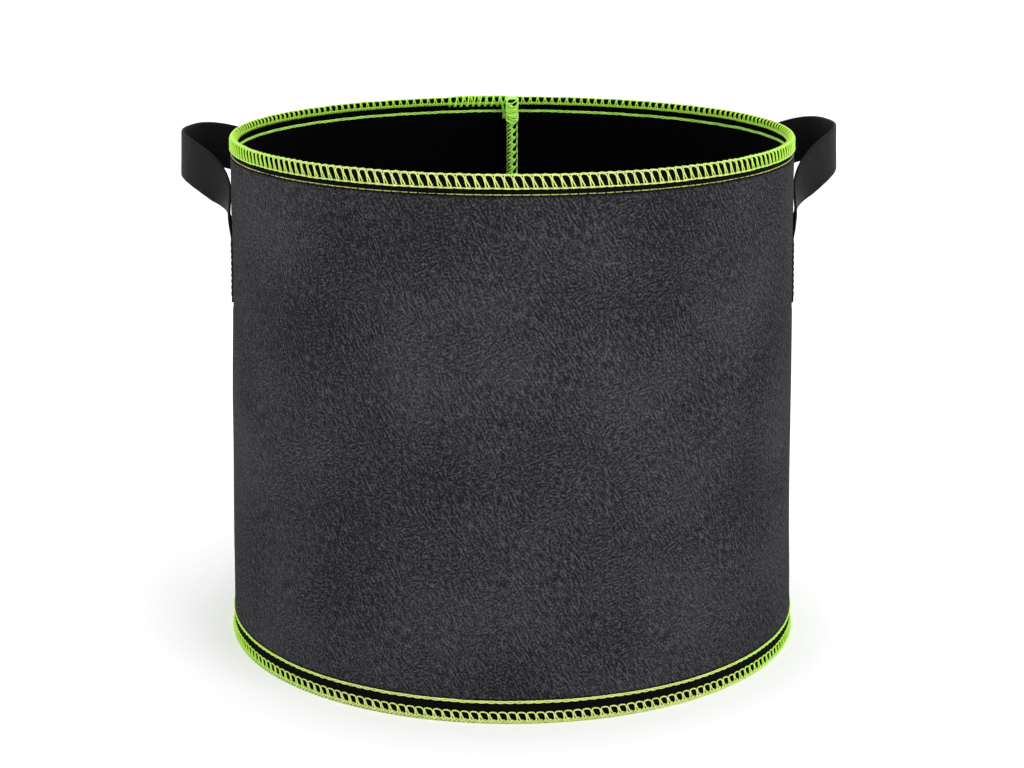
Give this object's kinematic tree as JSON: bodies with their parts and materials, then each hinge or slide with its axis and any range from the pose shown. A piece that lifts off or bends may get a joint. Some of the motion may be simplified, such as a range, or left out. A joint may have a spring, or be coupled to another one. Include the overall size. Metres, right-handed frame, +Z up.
{
  "type": "fabric grow bag",
  "caption": "Round fabric planter with an open top, a sewn-in flat bottom, overlocked seams and a webbing loop handle on each side.",
  "frame": {"origin": "centre of the underside of the bottom panel, on the surface the bag stands on", "axes": "+Z up through the open top, +Y towards the side panel's seam, +X towards the right handle"},
  "size_m": [0.3703, 0.3208, 0.2801],
  "materials": {
    "black_felt": "matt needle-punched polyester felt with a streaky fibre grain",
    "black_webbing": "woven polypropylene webbing with a low sheen",
    "lime_thread": "bright lime-green polyester sewing thread with a slight sheen",
    "black_thread": "black polyester sewing thread"
  },
  "bodies": {
    "bag": {"side_panel": "black_felt", "bottom_panel": "black_felt", "rim_overlock_outer_looper": "lime_thread", "rim_overlock_inner_looper": "lime_thread", "rim_overlock_needle_thread": "lime_thread", "rim_chain_needle_thread": "lime_thread", "rim_chain_looper_thread": "lime_thread", "bottom_overlock_outer_looper": "lime_thread", "bottom_overlock_inner_looper": "lime_thread", "bottom_overlock_needle_thread": "lime_thread", "bottom_chain_needle_thread": "lime_thread", "bottom_chain_looper_thread": "lime_thread", "seam_overlock_upper_looper": "lime_thread", "seam_overlock_lower_looper": "lime_thread", "seam_overlock_needle_thread": "lime_thread", "seam_chain_needle_thread": "lime_thread", "seam_chain_looper_thread": "lime_thread", "left_handle_front_tab": "black_webbing", "left_handle_front_needle_thread": "black_thread", "left_handle_front_bobbin_thread": "black_thread", "left_handle_rear_tab": "black_webbing", "left_handle_rear_needle_thread": "black_thread", "left_handle_rear_bobbin_thread": "black_thread", "right_handle_front_tab": "black_webbing", "right_handle_front_needle_thread": "black_thread", "right_handle_front_bobbin_thread": "black_thread", "right_handle_rear_tab": "black_webbing", "right_handle_rear_needle_thread": "black_thread", "right_handle_rear_bobbin_thread": "black_thread"},
    "left_handle": {"left_handle_loop": "black_webbing"},
    "right_handle": {"right_handle_loop": "black_webbing"}
  },
  "joints": [
    {"name": "left_handle_swing", "type": "hinge", "parent": "bag", "child": "left_handle", "pos_m": [-0.14766, 0.03518, 0.24], "axis": [-0.2317, -0.9728, 0], "range_deg": [-14, 95], "stiffness_Nm_per_rad": 0.02},
    {"name": "right_handle_swing", "type": "hinge", "parent": "bag", "child": "right_handle", "pos_m": [0.14766, 0.03518, 0.24], "axis": [-0.2317, 0.9728, 0], "range_deg": [-14, 95], "stiffness_Nm_per_rad": 0.02}
  ]
}
